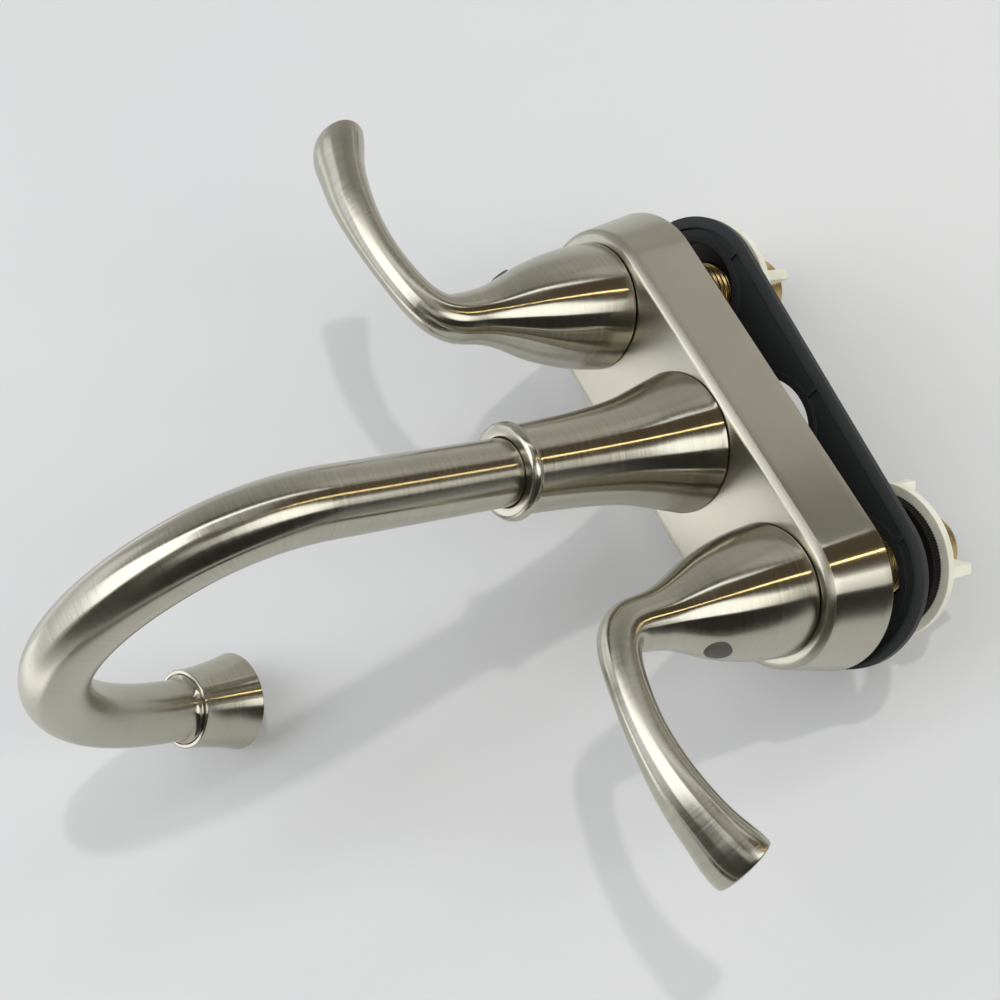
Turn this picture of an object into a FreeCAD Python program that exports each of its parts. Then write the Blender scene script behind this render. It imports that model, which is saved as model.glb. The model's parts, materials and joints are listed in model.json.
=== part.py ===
"""Two-handle centerset bathroom faucet with a swivelling gooseneck spout.

Frame: +X is the user's right, +Y the back, +Z up. The origin is on the spout's axis,
in the plane of the base cover's underside. All lengths are in millimetres.
"""
import FreeCAD
import Part
import math
import os

Vector = FreeCAD.Vector
UP = Vector(0, 0, 1)
ORIGIN = Vector(0, 0, 0)

# Base cover
handle_spacing = 101.6
base_bottom_radius = 27.0
base_top_radius = 22.3
base_height = 20.6
base_edge_round = 2.4
base_wall = 1.8
base_top_thickness = 2.6

# Clearances and margins
fit_clearance = 0.05
running_clearance = 0.06
bolt_hole_clearance = 0.3
disc_film = 0.05
nut_gap = 0.05
overcut = 1.0
edge_tolerance = 0.01

# Valve bodies and their threaded shanks
shank_radius = 10.3
shank_length = 52.6
thread_pitch = 1.814
thread_depth = 0.9
thread_crest = 0.5
shank_lead = 1.6
shank_plain_end = 10.0
shank_bore_radius = 7.0
valve_body_radius = 14.0
valve_flange_radius = 16.5
valve_flange_height = 6.0
valve_neck_radius = 13.0
valve_neck_height = 8.0
valve_cavity_radius = 10.5
valve_cavity_floor = 6.0
valve_boss_reach = 17.0

# Waterway between the valves and the spout
waterway_height = 9.2
waterway_boss_radius = 6.6
crossover_radius = 5.0
crossover_bore_radius = 4.0
crossover_socket_depth = 6.0

# Bonnet nuts
bonnet_nut_radius = 15.4
bonnet_nut_height = 6.0
bonnet_slot_width = 3.0
bonnet_slot_depth = 1.2

# Cartridges
cartridge_flange_radius = 12.6
cartridge_flange_height = 1.6
cartridge_head_radius = 8.5
cartridge_head_height = 7.5
cartridge_flow_gap = 0.9
cartridge_window_width = 6.0
cartridge_window_height = 3.0
seat_seal_height = 3.0
seat_seal_bore_radius = 5.0
disc_radius = 8.4
disc_thickness = 3.5
disc_port_radius = 2.6
disc_port_offset = 4.6
stem_flange_thickness = 3.0
stem_radius = 4.5
stem_tip_radius = 4.0
stem_tip_length = 15.0
stem_flat_depth = 0.7

# Handles
handle_lift = 0.4
handle_wall = 2.0
hub_cavity_height = 20.0
hub_socket_slack = 1.0
plug_radius = 3.6
plug_rise = 28.5
plug_depth = 3.0
set_screw_radius = 2.5
set_screw_length = 5.0
set_screw_socket_radius = 1.3
set_screw_socket_depth = 2.2

# Hub sections: height above the hub's foot, radius
hub_sections = [(0.0, 18.9), (7.0, 18.2), (14.0, 17.0), (21.0, 15.3), (27.0, 13.4),
                (33.0, 11.0), (39.0, 8.9), (45.0, 7.7)]
# Lever sections: reach, height above the hub's foot, tilt from level, half width, half height
lever_sections = [(0.0, 49.5, 6.0, 7.2, 7.3), (0.5, 52.6, 20.0, 6.9, 7.0), (2.6, 56.6, 45.0, 6.3, 6.1),
                  (7.5, 59.9, 68.0, 5.8, 5.3), (16.0, 62.5, 76.0, 5.5, 4.9), (25.0, 64.1, 82.0, 5.6, 4.8),
                  (36.0, 64.7, 91.0, 6.5, 5.0), (48.0, 63.6, 99.0, 8.0, 5.5), (57.0, 61.4, 107.0, 9.2, 6.1),
                  (63.8, 59.0, 114.0, 10.3, 6.8), (65.6, 58.2, 116.0, 10.3, 6.7), (66.2, 57.9, 116.0, 9.3, 5.8)]
section_points = 16

# Spout foot
post_body_radius = 12.0
post_body_floor = 1.5
post_neck_radius = 9.5
post_pipe_radius = 6.4
post_pipe_length = 38.4
post_bore_radius = 4.2
post_boss_reach = 16.0
locknut_radius = 15.5
locknut_height = 5.0
thrust_washer_radius = 10.4
thrust_washer_height = 2.0
bell_wall = 2.3
bell_bore_radius = 10.6
# Bell outline: height above the base cover, radius
bell_outline = [(0.0, 20.5), (9.4, 18.1), (19.4, 15.5), (31.4, 13.7), (45.4, 12.6), (60.8, 12.0)]
collar_radius = 13.3
collar_height = 3.8
collar_round = 1.4
collar_step_radius = 12.35
collar_step_height = 0.9
collar_spigot_depth = 9.0
collar_gap = 0.5

# Gooseneck
tube_radius = 9.2
tube_bore_radius = 7.9
tube_riser_length = 113.34
tube_first_bend_radius = 42.8
tube_first_bend_angle = 48.2
tube_second_bend_radius = 64.9
tube_second_bend_angle = 119.7
tube_outlet_length = 11.2
spout_rest_angle = -3.6
bushing_rise = 4.34
bushing_height = 12.0
seal_thickness = 1.8
seal_rises = [24.4, 30.4]
seal_groove_width = 2.2
retainer_gap = 0.3
retainer_thickness = 1.2
retainer_radius = 10.3
retainer_groove_depth = 0.55

# Aerator
aerator_start = 5.0
# Housing outline: distance from the housing's top, radius
aerator_outline = [(0.0, 11.2), (0.8, 11.76), (4.0, 11.95), (9.0, 12.6), (14.5, 13.55), (19.5, 14.8)]
aerator_shoulder = 1.0
aerator_shoulder_radius = 7.9
aerator_cavity_radius = 10.4
aerator_washer_thickness = 1.2
aerator_insert_length = 8.0
aerator_insert_bore_radius = 7.2
aerator_screen_thickness = 0.6
aerator_screen_ring_holes = 6
aerator_hole_radius = 1.1

# Gasket plate
gasket_radius = 26.1
gasket_half_length = 49.8
gasket_thickness = 2.2
gasket_pocket_depth = 0.8
gasket_rim_width = 3.5
gasket_hole_radius = 17.7
gasket_middle_hole_radius = 16.6
gasket_collar_width = 2.2
gasket_rib_width = 1.6
gasket_seat_gap = 0.3
gasket_seat_shift_x = 4.42
gasket_seat_shift_y = 2.2
gasket_hang_angle = 10.43
gasket_hinge_point = (21.0, -38.1, -16.5)
gasket_hinge_axis = (0.934, 0.3405, 0.110)

# Washers and mounting nuts
washer_top = -26.6
washer_thickness = 3.4
washer_radius = 20.7
washer_bore_clearance = 0.5
washer_dish_radius = 17.0
washer_dish_depth = 1.4
washer_teeth = 144
washer_tooth_depth = 0.35
nut_flange_radius = 23.3
nut_flange_thickness = 2.5
nut_body_radius = 14.6
nut_body_height = 9.5
nut_wing_reach = 22.4
nut_wing_thickness = 3.2
nut_wings = 4
right_nut_angle = 45.0
left_nut_angle = 65.0

# Heights that follow from the sizes above
half_spacing = handle_spacing / 2
cover_underside = base_height - base_top_thickness
valve_rim = base_height + valve_neck_height
disc_floor = valve_cavity_floor + seat_seal_height
moving_disc_floor = disc_floor + disc_thickness + disc_film
stem_floor = moving_disc_floor + disc_thickness
cartridge_ceiling = stem_floor + stem_flange_thickness + disc_film
cartridge_top = valve_rim + cartridge_flange_height + cartridge_head_height
hub_foot = base_height + handle_lift
hub_cavity_top = hub_foot + hub_cavity_height
stem_top = cartridge_top + stem_tip_length
locknut_top = base_height + locknut_height
tube_foot = locknut_top + thrust_washer_height + running_clearance
plug_height = hub_foot + plug_rise
post_pipe_top = locknut_top + post_pipe_length
seal_heights = [locknut_top + rise for rise in seal_rises]
bell_top = base_height + bell_outline[-1][0]
collar_spigot_floor = bell_top - collar_spigot_depth
bushing_floor = tube_foot + bushing_rise
retainer_floor = collar_spigot_floor - retainer_gap - retainer_thickness
aerator_end = aerator_start + aerator_outline[-1][0]


def disc(radius, bottom, top, x=0.0, y=0.0):
    """An upright cylinder between two heights."""
    return Part.makeCylinder(radius, top - bottom, Vector(x, y, bottom))


def ring(outer, inner, bottom, top, x=0.0):
    """An upright ring between two heights."""
    return disc(outer, bottom, top, x).cut(disc(inner, bottom - overcut, top + overcut, x))


def bar_x(radius, start, end, height):
    """A round bar along X at a height."""
    return Part.makeCylinder(radius, end - start, Vector(start, 0, height), Vector(1, 0, 0))


def spline_edge(points):
    """A smooth edge through points."""
    curve = Part.BSplineCurve()
    curve.interpolate(points)
    return curve.toShape()


def turned(outline, floor, wall=0.0):
    """A solid of revolution whose outline is (height, radius) pairs, drawn in by a wall."""
    points = [Vector(radius - wall, 0, floor + height) for height, radius in outline]
    bottom = Vector(0, 0, points[0].z)
    top = Vector(0, 0, points[-1].z)
    edges = [spline_edge(points), Part.makeLine(points[-1], top), Part.makeLine(top, bottom)]
    edges.append(Part.makeLine(bottom, points[0]))
    return Part.Face(Part.Wire(edges)).revolve(ORIGIN, UP, 360)


def stadium_wire(half_length, radius, height):
    """The outline of the cover or the plate: two half rounds joined by straight sides."""
    right_end = Part.Arc(Vector(half_length, -radius, height), Vector(half_length + radius, 0, height),
                         Vector(half_length, radius, height)).toShape()
    left_end = Part.Arc(Vector(-half_length, radius, height), Vector(-half_length - radius, 0, height),
                        Vector(-half_length, -radius, height)).toShape()
    back = Part.makeLine(Vector(half_length, radius, height), Vector(-half_length, radius, height))
    front = Part.makeLine(Vector(-half_length, -radius, height), Vector(half_length, -radius, height))
    return Part.Wire([right_end, back, left_end, front])


def stadium_solid(half_length, radius, bottom, top):
    """A straight-walled slab with the stadium outline."""
    return Part.Face(stadium_wire(half_length, radius, bottom)).extrude(Vector(0, 0, top - bottom))


def hexagon(radius, bottom, top):
    """An upright hexagonal prism by its corner radius."""
    corners = []
    for index in range(7):
        angle = math.radians(60 * index)
        corners.append(Vector(radius * math.cos(angle), radius * math.sin(angle), bottom))
    return Part.Face(Part.makePolygon(corners)).extrude(Vector(0, 0, top - bottom))


def on_side(shape, side):
    """Place a piece modelled on the origin at the right (+1) or left (-1) handle axis."""
    placed = shape.copy()
    if side < 0:
        placed.rotate(ORIGIN, UP, 180)
    placed.translate(Vector(side * half_spacing, 0, 0))
    return placed


def cover_radius(height):
    """The drafted wall's outer radius at a height."""
    return base_bottom_radius + (base_top_radius - base_bottom_radius) * height / base_height


def make_base_cover():
    outer = Part.makeLoft([stadium_wire(half_spacing, base_bottom_radius, 0),
                           stadium_wire(half_spacing, base_top_radius, base_height)], True, True)
    top_edges = [edge for edge in outer.Edges
                 if min(vertex.Z for vertex in edge.Vertexes) > base_height - edge_tolerance]
    outer = outer.makeFillet(base_edge_round, top_edges)
    ceiling_radius = cover_radius(cover_underside) - base_wall
    hollow = Part.makeLoft([stadium_wire(half_spacing, base_bottom_radius - base_wall, 0),
                            stadium_wire(half_spacing, ceiling_radius, cover_underside)], True, True)
    cover = outer.cut(hollow)
    neck_hole = valve_neck_radius + bolt_hole_clearance
    for side in (-1, 1):
        cover = cover.cut(disc(neck_hole, 0, base_height + overcut, side * half_spacing))
    return cover.cut(disc(post_neck_radius + bolt_hole_clearance, 0, base_height + overcut))


def thread_outline(radius, start, end):
    """Points of a ridged outline that climbs from start to end."""
    points = []
    count = int((end - start) / thread_pitch)
    flank = (thread_pitch - thread_crest) / 2
    for index in range(count):
        bottom = start + index * thread_pitch
        points.append(Vector(radius, 0, bottom))
        points.append(Vector(radius, 0, bottom + thread_crest))
        points.append(Vector(radius - thread_depth, 0, bottom + thread_crest + flank))
    points.append(Vector(radius, 0, start + count * thread_pitch))
    return points


def make_valve_body():
    """Body and shank in one brass casting, with its outlet towards the spout along -X."""
    outline = [Vector(0, 0, -shank_length), Vector(shank_radius, 0, -shank_length)]
    outline += thread_outline(shank_radius, -shank_length + shank_plain_end, -shank_lead)
    outline += [Vector(shank_radius, 0, 0), Vector(0, 0, 0)]
    outline.append(outline[0])
    body = Part.Face(Part.makePolygon(outline)).revolve(ORIGIN, UP, 360)
    body = body.fuse(disc(valve_body_radius, 0, cover_underside))
    body = body.fuse(disc(valve_flange_radius, cover_underside - valve_flange_height, cover_underside))
    body = body.fuse(disc(valve_neck_radius, cover_underside, valve_rim))
    body = body.fuse(bar_x(waterway_boss_radius, -valve_boss_reach, 0, waterway_height))
    body = body.cut(disc(shank_bore_radius, -shank_length - overcut, valve_cavity_floor + overcut))
    body = body.cut(disc(valve_cavity_radius, valve_cavity_floor, valve_rim + overcut))
    socket_start = -valve_boss_reach - overcut
    socket_end = -valve_boss_reach + crossover_socket_depth
    body = body.cut(bar_x(crossover_radius + fit_clearance, socket_start, socket_end, waterway_height))
    body = body.cut(bar_x(crossover_bore_radius, socket_start, 0, waterway_height))
    return body.removeSplitter()


def make_bonnet_nut():
    nut = ring(bonnet_nut_radius, valve_neck_radius + fit_clearance, base_height,
               base_height + bonnet_nut_height)
    for angle in (0, 90):
        slot = Part.makeBox(2 * (bonnet_nut_radius + overcut), bonnet_slot_width, bonnet_slot_depth + overcut)
        slot.translate(Vector(-bonnet_nut_radius - overcut, -bonnet_slot_width / 2,
                              base_height + bonnet_nut_height - bonnet_slot_depth))
        slot.rotate(ORIGIN, UP, angle)
        nut = nut.cut(slot)
    return nut


def make_cartridge_body():
    sleeve = valve_cavity_radius - fit_clearance
    body = disc(sleeve - cartridge_flow_gap, disc_floor, cartridge_ceiling)
    body = body.fuse(disc(sleeve, cartridge_ceiling, valve_rim))
    body = body.fuse(disc(cartridge_flange_radius, valve_rim, valve_rim + cartridge_flange_height))
    body = body.fuse(disc(cartridge_head_radius, valve_rim, cartridge_top))
    body = body.cut(disc(disc_radius + fit_clearance, disc_floor - overcut, cartridge_ceiling))
    stem_hole = stem_radius + running_clearance
    body = body.cut(disc(stem_hole, cartridge_ceiling - overcut, cartridge_top + overcut))
    window = Part.makeBox(2 * sleeve, cartridge_window_width, cartridge_window_height)
    window.translate(Vector(-sleeve, -cartridge_window_width / 2, stem_floor))
    return body.cut(window).removeSplitter()


def make_disc(floor, angle):
    """A ceramic disc with two opposite ports."""
    plate = disc(disc_radius, floor, floor + disc_thickness)
    for turn in (angle, angle + 180):
        x = disc_port_offset * math.cos(math.radians(turn))
        y = disc_port_offset * math.sin(math.radians(turn))
        plate = plate.cut(disc(disc_port_radius, floor - overcut, floor + disc_thickness + overcut, x, y))
    return plate


def make_stem():
    stem = disc(disc_radius - disc_film, stem_floor, stem_floor + stem_flange_thickness)
    stem = stem.fuse(disc(stem_radius, stem_floor, cartridge_top))
    tip = disc(stem_tip_radius, cartridge_top, stem_top)
    flat = Part.makeBox(stem_tip_radius, 2 * stem_tip_radius, stem_tip_length)
    flat.translate(Vector(stem_tip_radius - stem_flat_depth, -stem_tip_radius, cartridge_top))
    return stem.fuse(tip.cut(flat)).removeSplitter()


def section_wire(reach, height, tilt, half_width, half_height):
    """One oval section of the handle, square to its run, as a closed smooth wire."""
    lean = math.radians(tilt)
    across = Vector(math.cos(lean), 0, -math.sin(lean))
    points = []
    for index in range(section_points):
        angle = 2 * math.pi * index / section_points
        point = Vector(reach, 0, hub_foot + height)
        point += across * (half_height * math.cos(angle))
        point += Vector(0, half_width * math.sin(angle), 0)
        points.append(point)
    curve = Part.BSplineCurve()
    curve.interpolate(points, PeriodicFlag=True)
    return Part.Wire(curve.toShape())


def make_handle_outside():
    wires = [section_wire(0, height, 0, radius, radius) for height, radius in hub_sections]
    wires += [section_wire(*section) for section in lever_sections]
    return Part.makeLoft(wires, True, False)


def hub_radius(height):
    """The hub's outer radius at a height above its foot, between two of its sections."""
    for (low, low_radius), (high, high_radius) in zip(hub_sections, hub_sections[1:]):
        if low <= height <= high:
            return low_radius + (high_radius - low_radius) * (height - low) / (high - low)
    return hub_sections[-1][1]


def set_screw_start():
    """Where the set screw meets the stem's flat."""
    return stem_tip_radius - stem_flat_depth + fit_clearance


def plug_start():
    """The floor of the plug's pocket, from the hub's axis."""
    return hub_radius(plug_height - hub_foot) - plug_depth


def make_handle(outside):
    cavity = [(height, radius) for height, radius in hub_sections if height < hub_cavity_height]
    cavity.append((hub_cavity_height, hub_radius(hub_cavity_height)))
    handle = outside.cut(turned(cavity, hub_foot, handle_wall))
    socket_top = stem_top + hub_socket_slack
    handle = handle.cut(disc(stem_tip_radius + fit_clearance, hub_cavity_top - overcut, socket_top))
    screw_hole = bar_x(set_screw_radius + fit_clearance, 0, plug_start() + overcut, plug_height)
    pocket = bar_x(plug_radius + fit_clearance, plug_start(), hub_radius(0), plug_height)
    return handle.cut(screw_hole).cut(pocket)


def make_plug(outside):
    return bar_x(plug_radius, plug_start(), hub_radius(0), plug_height).common(outside)


def make_set_screw():
    start = set_screw_start()
    end = start + set_screw_length
    screw = bar_x(set_screw_radius, start, end, plug_height)
    socket_start = end - set_screw_socket_depth
    return screw.cut(bar_x(set_screw_socket_radius, socket_start, end + overcut, plug_height))


def make_spout_post():
    post = disc(post_body_radius, post_body_floor, cover_underside)
    post = post.fuse(disc(post_neck_radius, cover_underside, locknut_top))
    post = post.fuse(disc(post_pipe_radius, locknut_top, post_pipe_top))
    post = post.fuse(bar_x(waterway_boss_radius, -post_boss_reach, post_boss_reach, waterway_height))
    post = post.cut(disc(post_bore_radius, waterway_height, post_pipe_top + overcut))
    boss_end = post_boss_reach + overcut
    post = post.cut(bar_x(crossover_bore_radius, -boss_end, boss_end, waterway_height))
    socket = bar_x(crossover_radius + fit_clearance, post_boss_reach - crossover_socket_depth,
                   boss_end, waterway_height)
    post = post.cut(socket)
    socket.rotate(ORIGIN, UP, 180)
    post = post.cut(socket)
    for height in seal_heights:
        low = height - seal_groove_width / 2
        high = height + seal_groove_width / 2
        post = post.cut(ring(post_pipe_radius + overcut, seal_inner_radius(), low, high))
    return post.removeSplitter()


def seal_inner_radius():
    """The seal rings fill the space from their groove to the tube's bore."""
    return tube_bore_radius - running_clearance - seal_thickness


def make_spout_seals():
    middle = tube_bore_radius - running_clearance - seal_thickness / 2
    rings = [Part.makeTorus(middle, seal_thickness / 2, Vector(0, 0, height)) for height in seal_heights]
    return Part.makeCompound(rings)


def make_crossover_tube():
    start = post_boss_reach - crossover_socket_depth
    end = half_spacing - valve_boss_reach + crossover_socket_depth
    tube = bar_x(crossover_radius, start, end, waterway_height)
    return tube.cut(bar_x(crossover_bore_radius, start - overcut, end + overcut, waterway_height))


def make_spout_locknut():
    nut = hexagon(locknut_radius, base_height, locknut_top)
    neck_hole = post_neck_radius + fit_clearance
    return nut.cut(disc(neck_hole, base_height - overcut, locknut_top + overcut))


def make_spout_bell():
    bell = turned(bell_outline, base_height)
    bore_start = [(height, radius) for height, radius in bell_outline
                  if radius - bell_wall > bell_bore_radius]
    bell = bell.cut(turned(bore_start, base_height, bell_wall))
    return bell.cut(disc(bell_bore_radius, base_height, bell_top + overcut))


def make_spout_collar():
    """A rounded ring on a low step, with a spigot down into the bell's neck."""
    ring_floor = bell_top + collar_step_height
    collar_top = bell_top + collar_height
    collar = disc(collar_radius, ring_floor, collar_top)
    rims = [edge for edge in collar.Edges if edge.Curve.TypeId == "Part::GeomCircle"]
    collar = collar.makeFillet(collar_round, rims)
    collar = collar.fuse(disc(collar_step_radius, bell_top, ring_floor + collar_round))
    collar = collar.fuse(disc(bell_bore_radius - fit_clearance, collar_spigot_floor, ring_floor))
    tube_hole = tube_radius + collar_gap
    collar = collar.cut(disc(tube_hole, collar_spigot_floor - overcut, collar_top + overcut))
    return collar.removeSplitter()


def bend(start, heading, radius, angle):
    """A forward bend in the YZ plane: its edge, end point and end heading, in degrees from upright."""
    points = []
    for share in (0.5, 1.0):
        turn = math.radians(heading + angle * share)
        first = math.radians(heading)
        forward = radius * (math.cos(first) - math.cos(turn))
        rise = radius * (math.sin(turn) - math.sin(first))
        points.append(start + Vector(0, -forward, rise))
    return Part.Arc(start, points[0], points[1]).toShape(), points[1], heading + angle


def tube_path():
    """The gooseneck's centre line, and the point and heading where its last bend ends."""
    foot = Vector(0, 0, tube_foot)
    riser_end = Vector(0, 0, tube_foot + tube_riser_length)
    first, first_end, heading = bend(riser_end, 0, tube_first_bend_radius, tube_first_bend_angle)
    second, second_end, heading = bend(first_end, heading, tube_second_bend_radius, tube_second_bend_angle)
    turn = math.radians(heading)
    along = Vector(0, -math.sin(turn), math.cos(turn))
    outlet = Part.makeLine(second_end, second_end + along * tube_outlet_length)
    return Part.Wire([Part.makeLine(foot, riser_end), first, second, outlet]), second_end, heading


def swept(wire, radius):
    """A round bar along the gooseneck's centre line."""
    circle = Part.Wire(Part.makeCircle(radius, Vector(0, 0, tube_foot), UP))
    return wire.makePipeShell([circle], True, False)


def make_spout_tube():
    wire = tube_path()[0]
    tube = swept(wire, tube_radius).cut(swept(wire, tube_bore_radius))
    groove = ring(tube_radius + overcut, tube_radius - retainer_groove_depth, retainer_floor,
                  retainer_floor + retainer_thickness)
    return tube.cut(groove)


def at_outlet(shape):
    """Place a piece modelled along +Z from the last bend's end onto the outlet's axis."""
    bend_end, heading = tube_path()[1:]
    placed = shape.copy()
    placed.rotate(ORIGIN, Vector(1, 0, 0), heading)
    placed.translate(bend_end)
    return placed


def make_aerator_pieces():
    """The housing, its washer, insert and screen, along +Z from the last bend's end."""
    tube_end = tube_outlet_length + fit_clearance
    cavity_start = tube_end + aerator_shoulder
    housing = turned(aerator_outline, aerator_start)
    housing = housing.cut(disc(tube_radius + fit_clearance, aerator_start - overcut, tube_end))
    housing = housing.cut(disc(aerator_shoulder_radius, aerator_start, aerator_end))
    housing = housing.cut(disc(aerator_cavity_radius, cavity_start, aerator_end + overcut))
    washer_end = cavity_start + aerator_washer_thickness
    insert_end = washer_end + aerator_insert_length
    snug = aerator_cavity_radius - fit_clearance
    washer = ring(snug, aerator_shoulder_radius, cavity_start, washer_end)
    insert = ring(snug, aerator_insert_bore_radius, washer_end, insert_end)
    screen_end = insert_end + aerator_screen_thickness
    screen = disc(snug, insert_end, screen_end)
    places = [(0.0, 0.0)]
    for index in range(aerator_screen_ring_holes):
        angle = 2 * math.pi * index / aerator_screen_ring_holes
        x = aerator_insert_bore_radius / 2 * math.cos(angle)
        y = aerator_insert_bore_radius / 2 * math.sin(angle)
        places.append((x, y))
    for x, y in places:
        screen = screen.cut(disc(aerator_hole_radius, insert_end - overcut, screen_end + overcut, x, y))
    return {"aerator_housing": housing, "aerator_washer": washer, "aerator_insert": insert,
            "aerator_screen": screen}


def make_gasket_plate():
    """The plate is modelled flat under the cover, then let down about its hinge to where it hangs."""
    top = -gasket_seat_gap
    floor = top - gasket_thickness
    plate = stadium_solid(gasket_half_length, gasket_radius, floor, top)
    pocket_radius = gasket_radius - gasket_rim_width
    pocket = stadium_solid(gasket_half_length, pocket_radius, top - gasket_pocket_depth, top)
    holes = [(side * half_spacing, gasket_hole_radius) for side in (-1, 1)]
    holes.append((0, gasket_middle_hole_radius))
    for x, radius in holes:
        pocket = pocket.cut(disc(radius + gasket_collar_width, floor, top, x))
        rib = Part.makeBox(gasket_rib_width, 2 * gasket_radius, gasket_thickness)
        rib.translate(Vector(x - gasket_rib_width / 2, -gasket_radius, floor))
        pocket = pocket.cut(rib)
    plate = plate.cut(pocket)
    for x, radius in holes:
        plate = plate.cut(disc(radius, floor - overcut, top + overcut, x))
    plate.translate(Vector(gasket_seat_shift_x, gasket_seat_shift_y, 0))
    plate.rotate(Vector(*gasket_hinge_point), Vector(*gasket_hinge_axis), -gasket_hang_angle)
    return plate


def make_washer():
    bottom = washer_top - washer_thickness
    corners = []
    for index in range(2 * washer_teeth + 1):
        angle = math.pi * index / washer_teeth
        radius = washer_radius - washer_tooth_depth * (index % 2)
        corners.append(Vector(radius * math.cos(angle), radius * math.sin(angle), bottom))
    washer = Part.Face(Part.makePolygon(corners)).extrude(Vector(0, 0, washer_thickness))
    bore = shank_radius + washer_bore_clearance
    washer = washer.cut(disc(bore, bottom - overcut, washer_top + overcut))
    dish = Part.makeCone(washer_dish_radius, washer_dish_radius + washer_dish_depth, washer_dish_depth,
                         Vector(0, 0, washer_top - washer_dish_depth))
    return washer.cut(dish)


def make_mounting_nut(first_angle):
    top = washer_top - washer_thickness - nut_gap
    flange_bottom = top - nut_flange_thickness
    bottom = flange_bottom - nut_body_height
    nut = disc(nut_flange_radius, flange_bottom, top).fuse(disc(nut_body_radius, bottom, flange_bottom))
    for index in range(nut_wings):
        wing = Part.makeBox(nut_wing_reach, nut_wing_thickness, nut_body_height)
        wing.translate(Vector(0, -nut_wing_thickness / 2, bottom))
        wing.rotate(ORIGIN, UP, first_angle + 360 * index / nut_wings)
        nut = nut.fuse(wing)
    nut = nut.cut(disc(shank_radius + running_clearance, bottom - overcut, top + overcut))
    return nut.removeSplitter()


def make_parts():
    """Every node of the faucet, by name."""
    parts = {"base_cover": make_base_cover()}
    outside = make_handle_outside()
    seat_seal = ring(disc_radius, seat_seal_bore_radius, valve_cavity_floor, disc_floor)
    side_pieces = {
        "valve_body": make_valve_body(),
        "bonnet_nut": make_bonnet_nut(),
        "cartridge_body": make_cartridge_body(),
        "seat_seal": seat_seal,
        "fixed_disc": make_disc(disc_floor, 0),
        "moving_disc": make_disc(moving_disc_floor, 90),
        "stem": make_stem(),
        "handle": make_handle(outside),
        "set_screw": make_set_screw(),
        "plug": make_plug(outside),
        "washer": make_washer(),
    }
    for side, side_name, nut_angle in ((-1, "left", left_nut_angle - 180), (1, "right", right_nut_angle)):
        for name, shape in side_pieces.items():
            parts[side_name + "_" + name] = on_side(shape, side)
        parts[side_name + "_mounting_nut"] = on_side(make_mounting_nut(nut_angle), side)
        crossover = make_crossover_tube()
        if side < 0:
            crossover.rotate(ORIGIN, UP, 180)
        parts[side_name + "_crossover_tube"] = crossover
    parts["spout_post"] = make_spout_post()
    parts["spout_locknut"] = make_spout_locknut()
    parts["spout_seals"] = make_spout_seals()
    parts["spout_bell"] = make_spout_bell()
    parts["spout_collar"] = make_spout_collar()
    parts["spout_thrust_washer"] = ring(thrust_washer_radius, post_pipe_radius + running_clearance,
                                        locknut_top, locknut_top + thrust_washer_height)
    swivel = {
        "spout_tube": make_spout_tube(),
        "spout_bushing": ring(tube_bore_radius - fit_clearance, post_pipe_radius + running_clearance,
                              bushing_floor, bushing_floor + bushing_height),
        "spout_retainer": ring(retainer_radius, tube_radius - retainer_groove_depth + fit_clearance,
                               retainer_floor, retainer_floor + retainer_thickness),
    }
    for name, shape in make_aerator_pieces().items():
        swivel[name] = at_outlet(shape)
    for name, shape in swivel.items():
        shape.rotate(ORIGIN, UP, spout_rest_angle)
        parts[name] = shape
    parts["gasket_plate"] = make_gasket_plate()
    return parts


def main():
    os.makedirs("parts", exist_ok=True)
    for name, shape in make_parts().items():
        shape.exportStep("parts/" + name + ".step")
        print(name, len(shape.Solids), "solid", round(shape.Volume), "mm3", "valid", shape.isValid())


main()
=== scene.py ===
import json
import math

import bmesh
import bpy
from mathutils import Matrix, Vector


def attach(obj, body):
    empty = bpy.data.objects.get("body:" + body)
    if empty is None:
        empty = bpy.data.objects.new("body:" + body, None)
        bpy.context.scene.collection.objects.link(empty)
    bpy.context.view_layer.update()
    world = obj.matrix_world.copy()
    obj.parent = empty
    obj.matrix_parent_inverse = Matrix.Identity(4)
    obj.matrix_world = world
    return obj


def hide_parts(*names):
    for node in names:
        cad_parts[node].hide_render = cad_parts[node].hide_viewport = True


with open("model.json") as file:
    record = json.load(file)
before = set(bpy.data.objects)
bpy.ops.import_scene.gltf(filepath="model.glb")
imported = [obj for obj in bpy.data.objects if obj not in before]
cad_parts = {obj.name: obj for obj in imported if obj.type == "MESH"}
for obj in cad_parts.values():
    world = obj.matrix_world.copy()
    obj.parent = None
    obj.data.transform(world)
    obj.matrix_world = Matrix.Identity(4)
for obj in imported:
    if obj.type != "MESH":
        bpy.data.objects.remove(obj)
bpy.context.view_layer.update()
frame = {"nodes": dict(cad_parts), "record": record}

MM = 0.001

# Sizes in millimetres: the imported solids' own, with finer edges
HALF_SPACING = 50.8
BASE_BOTTOM_RADIUS = 27.0
BASE_TOP_RADIUS = 22.3
BASE_HEIGHT = 20.6
BASE_EDGE_ROUND = 2.4
BASE_WALL = 1.8
BASE_CEILING = 18.0
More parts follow.
